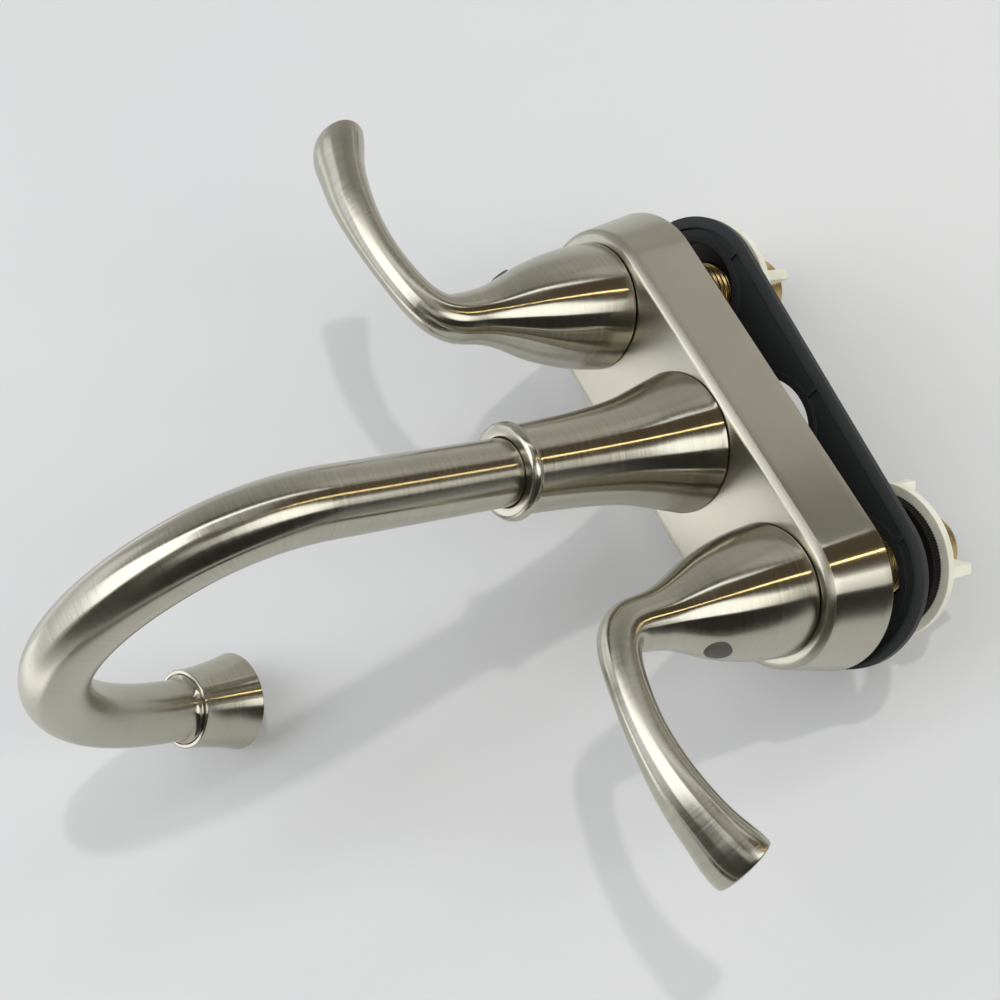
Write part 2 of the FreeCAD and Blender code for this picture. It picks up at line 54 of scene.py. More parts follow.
# The flat strips beside the wall, at the ceiling and on the top, and the top's margin past its rolled edge
BASE_CEILING_STRIP = 3.0
BASE_TOP_STRIP = 5.0
BASE_TOP_MARGIN = 0.4
VALVE_HOLE_RADIUS = 13.3
POST_HOLE_RADIUS = 9.8
COVER_HOLES = [(-HALF_SPACING, VALVE_HOLE_RADIUS), (0.0, POST_HOLE_RADIUS), (HALF_SPACING, VALVE_HOLE_RADIUS)]
HUB_FOOT = 21.0
HUB_FOOT_ROUND = 0.25
HUB_WALL = 2.0
HUB_CAVITY = 20.0
HUB_SOCKET_RADIUS = 4.05
HUB_SOCKET_TOP = 33.2
# Hub sections: height above the hub's foot, radius
HUB_SECTIONS = [(0.0, 18.9), (7.0, 18.2), (14.0, 17.0), (21.0, 15.3), (27.0, 13.4), (33.0, 11.0),
                (39.0, 8.9), (45.0, 7.7)]
# Lever sections: reach, height above the hub's foot, tilt from upright, half width, half height
LEVER_SECTIONS = [(0.0, 49.5, 6.0, 7.2, 7.3), (0.5, 52.6, 20.0, 6.9, 7.0), (2.6, 56.6, 45.0, 6.3, 6.1),
                  (7.5, 59.9, 68.0, 5.8, 5.3), (16.0, 62.5, 76.0, 5.5, 4.9), (25.0, 64.1, 82.0, 5.6, 4.8),
                  (36.0, 64.7, 91.0, 6.5, 5.0), (48.0, 63.6, 99.0, 8.0, 5.5), (57.0, 61.4, 107.0, 9.2, 6.1),
                  (63.8, 59.0, 114.0, 10.3, 6.8), (65.6, 58.2, 116.0, 10.3, 6.7)]
LEVER_END_LENGTH = 0.615
LEVER_END_INSET = 1.0
LEVER_END_CROWN = 0.3
PLUG_RADIUS = 3.6
PLUG_RISE = 28.5
PLUG_PROUD = 0.75
# Bell outline: height above the base cover, radius
BELL_OUTLINE = [(0.0, 20.5), (9.4, 18.1), (19.4, 15.5), (31.4, 13.7), (45.4, 12.6), (60.8, 12.0)]
BELL_WALL = 2.3
BELL_FOOT_INSET = 0.8
BELL_FOOT_GAP = 0.4
# The bell's lower edge, above the gap at its foot: inset, rise
BELL_EDGE = [(0.25, 0.0), (0.05, 0.15)]
BELL_BORE_RADIUS = 10.6
BELL_TOP = 81.4
COLLAR_RADIUS = 13.3
COLLAR_HEIGHT = 3.8
COLLAR_STEP_RADIUS = 12.35
COLLAR_STEP_HEIGHT = 0.9
COLLAR_BORE_RADIUS = 9.3
COLLAR_SPIGOT_DEPTH = 9.0
COLLAR_FIT = 0.05
COLLAR_MOUTH = 0.1
TUBE_RADIUS = 9.175
TUBE_BORE_RADIUS = 7.9
TUBE_FOOT = 27.66
TUBE_RISER_TOP = 141.0
TUBE_BENDS = [(42.8, 48.2), (64.9, 119.7)]
TUBE_OUTLET_LENGTH = 11.2
# The tube swells just before the aerator: distance past the last bend, outer radius
OUTLET_FLARE = [(1.6, TUBE_RADIUS), (3.0, TUBE_RADIUS), (3.5, 9.25), (4.0, 9.42), (4.4, 9.72), (4.7, 10.1),
                (4.9, 10.3), (5.15, 10.35), (5.3, TUBE_RADIUS), (TUBE_OUTLET_LENGTH, TUBE_RADIUS)]
SPOUT_REST_ANGLE = -3.6
AERATOR_START = 5.0
AERATOR_FIT = 0.05
# Aerator outline: distance from the housing's top, radius
AERATOR_OUTLINE = [(0.0, 11.2), (0.8, 11.76), (4.0, 11.95), (9.0, 12.6), (14.5, 13.55), (19.5, 14.8)]
AERATOR_TUBE_END = 11.25
AERATOR_CAVITY_START = 12.25
AERATOR_SHOULDER_RADIUS = 7.9
AERATOR_MOUTH_RADIUS = 10.6
AERATOR_CAVITY_RADIUS = 10.4

# How finely the pieces are divided
SHARP_ANGLE = 40
HOLE_SEGMENTS = 64
PLUG_SEGMENTS = 48
CAVITY_STEPS = 8
FOOT_STEPS = 4
LEVER_STEPS = 150
LEVER_END_STEPS = 6
BELL_STEPS = 60
RISER_STEPS = 40
BEND_STEP = 1.6
AERATOR_STEPS = 40
COVER_CORNER_STEPS = 10
COVER_WALL_PARTS = 8
COVER_TALL_RUN = 8.0

# The photograph's camera and the table that the faucet lies on
CAMERA_PLACE = (0.16132, 0.28555, 0.34670)
CAMERA_TURN = ((0.448972, -0.812718, 0.371367),
               (0.450588, 0.564822, 0.691337),
               (-0.771618, -0.143057, 0.619790))
CAMERA_LENS = 57.74
CAMERA_SENSOR = 36.0
CAMERA_NEAREST = 0.01
TABLE_UP = Vector((0.0, 0.802, 0.597)).normalized()
TABLE_SIDE = Vector((1.0, 0.0, 0.0))
TABLE_AWAY = TABLE_UP.cross(TABLE_SIDE)
TABLE_HALF = 3.0
TABLE_COLOURS = [(0.30, (0.70, 0.71, 0.72)), (0.70, (0.73, 0.73, 0.73))]


def spline(knots, values):
    """A natural cubic through values at knots, as a function."""
    count = len(knots)
    gaps = [knots[i + 1] - knots[i] for i in range(count - 1)]
    slopes = [(values[i + 1] - values[i]) / gaps[i] for i in range(count - 1)]
    lower = [0.0] * count
    right = [0.0] * count
    for i in range(1, count - 1):
        pivot = 2 * (gaps[i - 1] + gaps[i]) - gaps[i - 1] * lower[i - 1]
        lower[i] = gaps[i] / pivot
        right[i] = (6 * (slopes[i] - slopes[i - 1]) - gaps[i - 1] * right[i - 1]) / pivot
    curve = [0.0] * count
    for i in range(count - 2, 0, -1):
        curve[i] = right[i] - lower[i] * curve[i + 1]

    def at(place):
        i = 0
        while i < count - 2 and place > knots[i + 1]:
            i += 1
        before = place - knots[i]
        after = knots[i + 1] - place
        straight = (values[i] * after + values[i + 1] * before) / gaps[i]
        bend = (after ** 3 / gaps[i] - gaps[i] * after) * curve[i]
        bend += (before ** 3 / gaps[i] - gaps[i] * before) * curve[i + 1]
        return straight + bend / 6

    return at


def smooth_outline(outline, steps):
    """(height, radius) pairs along a smooth line through an outline."""
    heights = [height for height, radius in outline]
    radius_at = spline(heights, [radius for height, radius in outline])
    first, last = heights[0], heights[-1]
    places = [first + (last - first) * i / steps for i in range(steps + 1)]
    return [(place, radius_at(place)) for place in places]


def rounded(corners, steps=6):
    """(radius, height) points along straight runs whose corners (radius, height, rounding) are rounded."""
    points = []
    for i, (radius, height, rounding) in enumerate(corners):
        here = Vector((radius, height))
        if rounding == 0 or i in (0, len(corners) - 1):
            points.append((radius, height))
            continue
        back = (Vector(corners[i - 1][:2]) - here).normalized()
        ahead = (Vector(corners[i + 1][:2]) - here).normalized()
        half = back.angle(ahead) / 2
        reach = rounding / math.tan(half)
        centre = here + (back + ahead).normalized() * (rounding / math.sin(half))
        start = here + back * reach - centre
        end = here + ahead * reach - centre
        for step in range(steps + 1):
            share = step / steps
            arm = start.slerp(end, share).normalized() * rounding
            points.append(tuple(centre + arm))
    return points


def shade_smooth(mesh):
    """Shade a mesh smooth but for its sharp edges."""
    mesh.polygons.foreach_set("use_smooth", [True] * len(mesh.polygons))
    mesh.set_sharp_from_angle(angle=math.radians(SHARP_ANGLE))


def add_to_scene(name, data):
    piece = bpy.data.objects.new(name, data)
    bpy.context.scene.collection.objects.link(piece)
    return piece


def ring_piece(name, rings, closed=False, place=None):
    """A skin over rings of points in millimetres, with or without caps on the first and the last ring.

    The map runs along the rings in metres, then around them.
    """
    count = len(rings[0])
    along = [0.0]
    for before, after in zip(rings, rings[1:]):
        along.append(along[-1] + max((b - a).length for a, b in zip(before, after)) * MM)
    around = [0.0]
    widest = max(rings, key=lambda ring: (ring[0] - ring[count // 2]).length)
    for i in range(count):
        around.append(around[-1] + (widest[(i + 1) % count] - widest[i]).length * MM)
    vertices = [point * MM for ring in rings for point in ring]
    faces = []
    maps = []
    for r in range(len(rings) - 1):
        for i in range(count):
            n = (i + 1) % count
            faces.append((r * count + i, r * count + n, (r + 1) * count + n, (r + 1) * count + i))
            maps.append(((along[r], around[i]), (along[r], around[i + 1]),
                         (along[r + 1], around[i + 1]), (along[r + 1], around[i])))
    caps = ((0, -1), (len(rings) - 1, 1)) if closed else ()
    for row, outward in caps:
        middle = sum(rings[row], Vector((0, 0, 0))) / count
        vertices.append(middle * MM)
        centre = len(vertices) - 1
        reach = (rings[row][0] - middle).length * MM
        for i in range(count):
            n = (i + 1) % count
            corners = (row * count + i, row * count + n, centre)
            tip = (along[row] + outward * reach, around[i])
            places = ((along[row], around[i]), (along[row], around[i + 1]), tip)
            faces.append(corners if outward > 0 else corners[::-1])
            maps.append(places if outward > 0 else places[::-1])
    mesh = bpy.data.meshes.new(name)
    mesh.from_pydata(vertices, [], faces)
    layer = mesh.uv_layers.new(name="UVMap")
    for polygon, corners in zip(mesh.polygons, maps):
        for loop, corner in zip(polygon.loop_indices, corners):
            layer.data[loop].uv = corner
    if place is not None:
        mesh.transform(place)
    face_outward(mesh)
    shade_smooth(mesh)
    return add_to_scene(name, mesh)


def face_outward(mesh):
    """Turn every face of a closed skin to point out."""
    shell = bmesh.new()
    shell.from_mesh(mesh)
    bmesh.ops.recalc_face_normals(shell, faces=shell.faces)
    shell.to_mesh(mesh)
    shell.free()


def lathe(name, profile, place=None, segments=128):
    """A closed profile of (radius, height) points turned about Z, then placed."""
    rings = []
    for radius, height in profile + profile[:1]:
        ring = []
        for i in range(segments):
            angle = 2 * math.pi * i / segments
            ring.append(Vector((radius * math.cos(angle), radius * math.sin(angle), height)))
        rings.append(ring)
    return ring_piece(name, rings, place=place)


def spin_z(degrees):
    return Matrix.Rotation(math.radians(degrees), 4, "Z")


def side_place(side):
    """From a piece modelled on the origin to the right (+1) or left (-1) handle axis."""
    turn = spin_z(0 if side > 0 else 180)
    return Matrix.Translation((side * HALF_SPACING * MM, 0, 0)) @ turn


def oval_ring(reach, height, tilt, half_width, half_height, segments=72):
    lean = math.radians(tilt)
    across = Vector((math.cos(lean), 0, -math.sin(lean)))
    ring = []
    for i in range(segments):
        angle = 2 * math.pi * i / segments
        point = Vector((reach, 0, HUB_FOOT + height))
        point += across * (half_height * math.cos(angle))
        point.y += half_width * math.sin(angle)
        ring.append(point)
    return ring


HUB_RADIUS = spline([height for height, radius in HUB_SECTIONS], [radius for height, radius in HUB_SECTIONS])


def hub_foot_rings():
    """Rings from the cavity's socket, down its wall and over the rounded foot."""
    rings = []
    inner = [(HUB_SOCKET_RADIUS, HUB_SOCKET_TOP), (HUB_SOCKET_RADIUS, HUB_CAVITY)]
    for step in range(CAVITY_STEPS, -1, -1):
        height = HUB_CAVITY * step / CAVITY_STEPS
        inner.append((HUB_RADIUS(height) - HUB_WALL, height))
    for radius, height in inner:
        rings.append(oval_ring(0, height, 0, radius, radius))
    for step in range(FOOT_STEPS + 1):
        angle = math.pi / 2 * step / FOOT_STEPS
        radius = HUB_RADIUS(0) - HUB_FOOT_ROUND + HUB_FOOT_ROUND * math.sin(angle)
        rings.append(oval_ring(0, HUB_FOOT_ROUND - HUB_FOOT_ROUND * math.cos(angle), 0, radius, radius))
    return rings


def lever_end_rings():
    """Rings over the lever's rounded rim and slightly crowned end."""
    rings = []
    reach, height, tilt, half_width, half_height = LEVER_SECTIONS[-1]
    ahead = (math.sin(math.radians(tilt)), math.cos(math.radians(tilt)))
    for step in range(1, LEVER_END_STEPS + 1):
        angle = math.pi / 2 * step / LEVER_END_STEPS
        forward = LEVER_END_LENGTH * math.sin(angle)
        inset = LEVER_END_INSET * (1 - math.cos(angle))
        rings.append(oval_ring(reach + ahead[0] * forward, height + ahead[1] * forward, tilt,
                               half_width - inset, half_height - inset))
    for share in (0.8, 0.6, 0.4, 0.2, 0.06):
        forward = LEVER_END_LENGTH + LEVER_END_CROWN * (1 - share * share)
        rings.append(oval_ring(reach + ahead[0] * forward, height + ahead[1] * forward, tilt,
                               (half_width - LEVER_END_INSET) * share,
                               (half_height - LEVER_END_INSET) * share))
    return rings


def handle_rings():
    """Rings over the whole handle, up the hub and out to the lever's end."""
    rings = hub_foot_rings()
    sections = [(0.0, height, 0.0, radius, radius) for height, radius in HUB_SECTIONS] + LEVER_SECTIONS
    run = [0.0]
    for before, after in zip(sections, sections[1:]):
        run.append(run[-1] + math.hypot(after[0] - before[0], after[1] - before[1]))
    curves = [spline(run, [section[column] for section in sections]) for column in range(5)]
    hub_top = HUB_SECTIONS[-1][0]
    # The skin goes on a little above the rounded foot
    start = 1.0
    for step in range(LEVER_STEPS + 1):
        place = start + (run[-1] - start) * step / LEVER_STEPS
        values = [curve(place) for curve in curves]
        values[0] = values[0] if values[1] > hub_top else 0.0
        rings.append(oval_ring(*values))
    return rings + lever_end_rings()


def plug_rings():
    """A shallow button on the hub's outer side, following its curve."""
    rings = []
    outline = [(0.3, PLUG_PROUD), (1.2, PLUG_PROUD), (2.2, PLUG_PROUD), (2.9, PLUG_PROUD),
               (3.3, PLUG_PROUD - 0.05), (3.5, PLUG_PROUD - 0.15), (PLUG_RADIUS, 0.05), (PLUG_RADIUS, -1.0)]
    for radius, rise in outline:
        ring = []
        for i in range(PLUG_SEGMENTS):
            angle = 2 * math.pi * i / PLUG_SEGMENTS
            y = radius * math.cos(angle)
            z = PLUG_RISE + radius * math.sin(angle)
            x = math.sqrt(HUB_RADIUS(z) ** 2 - y * y) + rise
            ring.append(Vector((x, y, HUB_FOOT + z)))
        rings.append(ring)
    return rings


def make_bell():
    """The flared foot of the spout, undercut where it meets the cover so that a dark line shows round it."""
    outer = smooth_outline(BELL_OUTLINE, BELL_STEPS)
    foot_radius = outer[0][1]
    edge = BASE_HEIGHT + BELL_FOOT_GAP
    profile = [(foot_radius - BELL_FOOT_INSET, BASE_HEIGHT), (foot_radius - BELL_FOOT_INSET, edge)]
    profile += [(foot_radius - inset, edge + rise) for inset, rise in BELL_EDGE]
    profile += [(radius, BASE_HEIGHT + height) for height, radius in outer[1:]]
    profile.append((BELL_BORE_RADIUS, BELL_TOP))
    inner = [(max(radius - BELL_WALL, BELL_BORE_RADIUS), BASE_HEIGHT + height) for height, radius in outer]
    profile += inner[-2::-1]
    return lathe("bell", profile)


def make_collar():
    ring_floor = BELL_TOP + COLLAR_STEP_HEIGHT
    top = BELL_TOP + COLLAR_HEIGHT
    corners = [(COLLAR_BORE_RADIUS, BELL_TOP - COLLAR_SPIGOT_DEPTH, 0),
               (BELL_BORE_RADIUS - COLLAR_FIT, BELL_TOP - COLLAR_SPIGOT_DEPTH, 0.3),
               (BELL_BORE_RADIUS - COLLAR_FIT, BELL_TOP, 0), (COLLAR_STEP_RADIUS, BELL_TOP, 0.15),
               (COLLAR_STEP_RADIUS, ring_floor, 0.05), (COLLAR_RADIUS, ring_floor, 0.9),
               (COLLAR_RADIUS, top, 1.9), (COLLAR_BORE_RADIUS + COLLAR_MOUTH, top, 0.35),
               (COLLAR_BORE_RADIUS, BELL_TOP, 0)]
    return lathe("collar", rounded(corners))


def tube_stations():
    """Points of the gooseneck's centre line with their headings from upright, in degrees."""
    stations = []
    for step in range(RISER_STEPS + 1):
        stations.append((0.0, TUBE_FOOT + (TUBE_RISER_TOP - TUBE_FOOT) * step / RISER_STEPS, 0.0))
    heading = 0.0
    for radius, angle in TUBE_BENDS:
        forward, height = stations[-1][:2]
        steps = int(angle / BEND_STEP)
        for step in range(1, steps + 1):
            turn = math.radians(heading + angle * step / steps)
            first = math.radians(heading)
            stations.append((forward + radius * (math.cos(first) - math.cos(turn)),
                             height + radius * (math.sin(turn) - math.sin(first)), math.degrees(turn)))
        heading += angle
    bend_end = len(stations) - 1
    forward, height = stations[-1][:2]
    for run, radius in OUTLET_FLARE:
        stations.append((forward + run * math.sin(math.radians(heading)),
                         height + run * math.cos(math.radians(heading)), heading))
    return stations, bend_end


def tube_ring(station, radius, segments=96):
    forward, height, heading = station
    lean = math.radians(heading)
    across = Vector((0, -math.cos(lean), -math.sin(lean)))
    ring = []
    for i in range(segments):
        angle = 2 * math.pi * i / segments
        point = Vector((radius * math.cos(angle), -forward, height))
        ring.append(point + across * (radius * math.sin(angle)))
    return ring


def make_tube():
    stations, bend_end = tube_stations()
    radii = [TUBE_RADIUS] * (bend_end + 1) + [radius for run, radius in OUTLET_FLARE]
    rings = [tube_ring(station, TUBE_BORE_RADIUS) for station in stations[::-1]]
    rings += [tube_ring(station, radius) for station, radius in zip(stations, radii)]
    rings.append(rings[0])
    return ring_piece("gooseneck", rings, place=spin_z(SPOUT_REST_ANGLE))


def outlet_place():
    """From a piece modelled along +Z from the last bend's end to the outlet's axis."""
    stations, bend_end = tube_stations()
    end = stations[bend_end]
    lean = Matrix.Rotation(math.radians(end[2]), 4, "X")
    shift = Matrix.Translation((0, -end[0] * MM, end[1] * MM))
    return spin_z(SPOUT_REST_ANGLE) @ shift @ lean


def make_aerator():
    outer = smooth_outline(AERATOR_OUTLINE[1:], AERATOR_STEPS)
    start = AERATOR_START
    end = start + AERATOR_OUTLINE[-1][0]
    shoulder = AERATOR_OUTLINE[1][1]
    rim = AERATOR_OUTLINE[-1][1]
    neck = TUBE_RADIUS + AERATOR_FIT
    profile = rounded([(neck, AERATOR_TUBE_END, 0), (neck, start + 1.0, 0),
                       (AERATOR_MOUTH_RADIUS, start + 0.6, 0), (AERATOR_MOUTH_RADIUS, start, 0.12),
                       (shoulder, start, 0.5), (shoulder + 0.06, start + 1.2, 0)])
    profile += [(radius, start + height) for height, radius in outer if height > 1.6][:-1]
    profile += rounded([(rim - 0.03, end - 0.16, 0), (rim - 0.02, end, 0.1), (rim - 1.4, end, 0.4),
                        (AERATOR_CAVITY_RADIUS + 0.4, end - 1.6, 0.4),
                        (AERATOR_CAVITY_RADIUS, AERATOR_CAVITY_START, 0),
                        (AERATOR_SHOULDER_RADIUS, AERATOR_CAVITY_START, 0),
                        (AERATOR_SHOULDER_RADIUS, AERATOR_TUBE_END, 0)])
    return lathe("aerator_shell", profile, place=outlet_place())


def stadium(half_length, radius, height, arc_steps=56, side_steps=40):
    """Points round two half rounds joined by straight sides."""
    points = []
    for centre, start in ((half_length, -math.pi / 2), (-half_length, math.pi / 2)):
        for step in range(arc_steps + 1):
            angle = start + math.pi * step / arc_steps
            points.append(Vector((centre + radius * math.cos(angle), radius * math.sin(angle), height)))
        for step in range(1, side_steps):
            share = step / side_steps
            x = centre * (1 - 2 * share)
            y = radius if centre > 0 else -radius
            points.append(Vector((x, y, height)))
    return points


def cover_rows():
    """(radius, height) rows of the wall, from the ceiling down inside, round the foot and up to the top."""
    slope = (BASE_BOTTOM_RADIUS - BASE_TOP_RADIUS) / BASE_HEIGHT
    ceiling_radius = BASE_BOTTOM_RADIUS - slope * BASE_CEILING - BASE_WALL
    corners = [(ceiling_radius - BASE_CEILING_STRIP, BASE_CEILING, 0), (ceiling_radius, BASE_CEILING, 0.6),
               (BASE_BOTTOM_RADIUS - BASE_WALL, 0.0, 0.25), (BASE_BOTTOM_RADIUS, 0.0, 0.35),
               (BASE_TOP_RADIUS, BASE_HEIGHT, BASE_EDGE_ROUND),
               (BASE_TOP_RADIUS - BASE_TOP_STRIP, BASE_HEIGHT, 0)]
    profile = rounded(corners, COVER_CORNER_STEPS)
    rows = []
    for (radius, height), (next_radius, next_height) in zip(profile, profile[1:]):
        parts = COVER_WALL_PARTS if abs(next_height - height) > COVER_TALL_RUN else 1
        for part in range(parts):
            share = part / parts
            rows.append((radius + (next_radius - radius) * share, height + (next_height - height) * share))
    rows.append((profile[-2][0] - BASE_TOP_MARGIN, BASE_HEIGHT))
    return rows


def fill_flat(shell, edges, height):
    """Fill a flat of the cover inside its edges, all but three holes, and give the holes' rims."""
    rims = []
    for x, radius in COVER_HOLES:
        rim = []
        for i in range(HOLE_SEGMENTS):
            angle = 2 * math.pi * i / HOLE_SEGMENTS
            place = Vector((x + radius * math.cos(angle), radius * math.sin(angle), height)) * MM
            rim.append(shell.verts.new(place))
        for i in range(HOLE_SEGMENTS):
            edges.append(shell.edges.new((rim[i], rim[(i + 1) % HOLE_SEGMENTS])))
        rims.append(rim)
    bmesh.ops.triangle_fill(shell, use_beauty=True, use_dissolve=False, edges=edges)
    return rims


def make_cover():
    """The drawn cover: hollow, drafted wall, rolled top edge and a flat top with three holes."""
    rings = [stadium(HALF_SPACING, radius, height) for radius, height in cover_rows()]
    count = len(rings[0])
    cover = ring_piece("cover", rings)
    shell = bmesh.new()
    shell.from_mesh(cover.data)
    flats = []
    for height, first in ((BASE_HEIGHT, (len(rings) - 1) * count), (BASE_CEILING, 0)):
        shell.verts.ensure_lookup_table()
        border = [shell.verts[first + i] for i in range(count)]
        edges = [shell.edges.get((border[i], border[(i + 1) % count])) for i in range(count)]
        flats.append(fill_flat(shell, edges, height))
    for upper, lower in zip(*flats):
        for i in range(HOLE_SEGMENTS):
            n = (i + 1) % HOLE_SEGMENTS
            shell.faces.new((upper[i], upper[n], lower[n], lower[i]))
    map_flat_top(shell)
    bmesh.ops.recalc_face_normals(shell, faces=shell.faces)
    shell.to_mesh(cover.data)
    shell.free()
    shade_smooth(cover.data)
    return cover


def map_flat_top(shell):
    """Lay the map straight over the cover's level faces, so that the brushing there runs one way."""
    layer = shell.loops.layers.uv.active
    level = 0.999
    lowest = 0.015
    for face in shell.faces:
        if abs(face.normal.z) > level and face.calc_center_median().z > lowest:
            for loop in face.loops:
                loop[layer].uv = (loop.vert.co.x, loop.vert.co.y)


class Nodes:
    """A material's node tree with short ways to add and join nodes."""

    def __init__(self, name):
        self.material = bpy.data.materials.new(name)
        self.material.use_nodes = True
        self.tree = self.material.node_tree
        self.shader = self.tree.nodes["Principled BSDF"]

    def add(self, kind, **settings):
        node = self.tree.nodes.new(kind)
        for key, value in settings.items():
            if key in node.inputs:
                node.inputs[key].default_value = value
            else:
                setattr(node, key, value)
        return node

    def join(self, source, target):
        self.tree.links.new(source, target)

    def noise(self, vector, scale, detail=3.0, roughness=0.55):
        node = self.add("ShaderNodeTexNoise", Scale=scale, Detail=detail, Roughness=roughness)
        self.join(vector, node.inputs["Vector"])
        return node.outputs["Fac"]

    def spread(self, value, low, high, start=0.3, end=0.7):
        node = self.add("ShaderNodeMapRange")
        node.inputs["From Min"].default_value = start
        node.inputs["From Max"].default_value = end
        node.inputs["To Min"].default_value = low
        node.inputs["To Max"].default_value = high
        self.join(value, node.inputs["Value"])
        return node.outputs["Result"]

    def tint(self, value, stops):
        node = self.add("ShaderNodeValToRGB")
        ramp = node.color_ramp
        while len(ramp.elements) < len(stops):
            ramp.elements.new(0.5)
        for element, (place, colour) in zip(ramp.elements, stops):
            element.position = place
            element.color = (*colour, 1.0)
        self.join(value, node.inputs["Fac"])
        return node.outputs["Color"]

    def stretched(self, scale, source="UV"):
        coordinates = self.add("ShaderNodeTexCoord")
        mapping = self.add("ShaderNodeMapping")
        mapping.inputs["Scale"].default_value = scale
        self.join(coordinates.outputs[source], mapping.inputs["Vector"])
        return mapping.outputs["Vector"]

    def bump(self, height, strength, distance, normal=None):
        node = self.add("ShaderNodeBump", Strength=strength, Distance=distance)
        self.join(height, node.inputs["Height"])
        if normal is not None:
            self.join(normal, node.inputs["Normal"])
        return node.outputs["Normal"]

    def edge_normal(self, radius):
        node = self.add("ShaderNodeBevel", samples=6)
        node.inputs["Radius"].default_value = radius
        return node.outputs["Normal"]


# The cover's roughness by how far a face looks up: its sides, its rolled edge and its flat top
COVER_ROUGHNESS = [(0.0, 0.16), (0.26, 0.16), (0.36, 0.42), (0.90, 0.42), (0.985, 0.20)]
NICKEL = (0.50, 0.475, 0.395)
LINE_DARKENING = 0.11
LINE_LIGHTENING = 0.07


def brushed_nickel(name, roughness, anisotropy, line_scale, line_length, depth):
    """Brushed nickel whose fine lines run across the map's first direction.

    The roughness is one value, which the lines vary, or a list of stops by how far a face looks up.
    """
    nodes = Nodes(name)
    shader = nodes.shader
    shader.inputs["Metallic"].default_value = 1.0
    shader.inputs["Anisotropic"].default_value = anisotropy
    lines = nodes.noise(nodes.stretched((line_scale, line_length, 1.0)), 1.0, 4.0, 0.65)
    stains = nodes.noise(nodes.stretched((45.0, 45.0, 45.0), "Object"), 1.0, 4.0)
    dark = tuple(part * (1 - LINE_DARKENING * depth) for part in NICKEL)
    light = tuple(part * (1 + LINE_LIGHTENING * depth) for part in NICKEL)
    shade = nodes.tint(lines, [(0.30, dark), (0.70, light)])
    wash = nodes.tint(stains, [(0.35, (0.95, 0.95, 0.95)), (0.65, (1.0, 1.0, 1.0))])
    mix = nodes.add("ShaderNodeMix", data_type="RGBA", blend_type="MULTIPLY")
    mix.inputs["Factor"].default_value = 1.0
    nodes.join(shade, mix.inputs["A"])
    nodes.join(wash, mix.inputs["B"])
    nodes.join(mix.outputs["Result"], shader.inputs["Base Color"])
    if isinstance(roughness, list):
        parts = nodes.add("ShaderNodeSeparateXYZ")
        nodes.join(nodes.stretched((1.0, 1.0, 1.0), "Normal"), parts.inputs["Vector"])
        stops = [(rise, (value, value, value)) for rise, value in roughness]
        nodes.join(nodes.tint(parts.outputs["Z"], stops), shader.inputs["Roughness"])
    else:
        nodes.join(nodes.spread(lines, roughness * 0.85, roughness * 1.2), shader.inputs["Roughness"])
    nodes.join(nodes.bump(lines, 0.25 * depth, 0.00002), shader.inputs["Normal"])
    tangent = nodes.add("ShaderNodeTangent", direction_type="UV_MAP", uv_map="UVMap")
    nodes.join(tangent.outputs["Tangent"], shader.inputs["Tangent"])
    return nodes.material


def plain_metal(name, colour, roughness, mottle):
    """Turned metal of an inner or small piece, with faint mottling and softened edges."""
    nodes = Nodes(name)
    shader = nodes.shader
    shader.inputs["Metallic"].default_value = 1.0
    blotches = nodes.noise(nodes.stretched((mottle, mottle, mottle * 4), "Object"), 1.0, 5.0)
    dark = tuple(part * 0.75 for part in colour)
    nodes.join(nodes.tint(blotches, [(0.32, dark), (0.68, colour)]), shader.inputs["Base Color"])
    nodes.join(nodes.spread(blotches, roughness + 0.08, roughness - 0.04), shader.inputs["Roughness"])
    nodes.join(nodes.bump(blotches, 0.12, 0.00005, nodes.edge_normal(0.00015)), shader.inputs["Normal"])
    return nodes.material


def moulded(name, colour, roughness, grain, depth, edge, subsurface=0.0, gloss=0.45):
    """Moulded plastic or rubber: fine grain, soft edges and slight colour drift."""
    nodes = Nodes(name)
    shader = nodes.shader
    shader.inputs["Specular IOR Level"].default_value = gloss
    shader.inputs["Subsurface Weight"].default_value = subsurface
    shader.inputs["Subsurface Radius"].default_value = (0.012, 0.010, 0.008)
    fine = nodes.noise(nodes.stretched((grain, grain, grain), "Object"), 1.0, 4.0)
    drift = nodes.noise(nodes.stretched((60.0, 60.0, 60.0), "Object"), 1.0, 3.0)
    dark = tuple(part * 0.82 for part in colour)
    light = tuple(min(part * 1.12, 1.0) for part in colour)
    nodes.join(nodes.tint(drift, [(0.30, dark), (0.70, light)]), shader.inputs["Base Color"])
    nodes.join(nodes.spread(fine, roughness - 0.05, roughness + 0.07), shader.inputs["Roughness"])
    nodes.join(nodes.bump(fine, 0.25, depth, nodes.edge_normal(edge)), shader.inputs["Normal"])
    return nodes.material


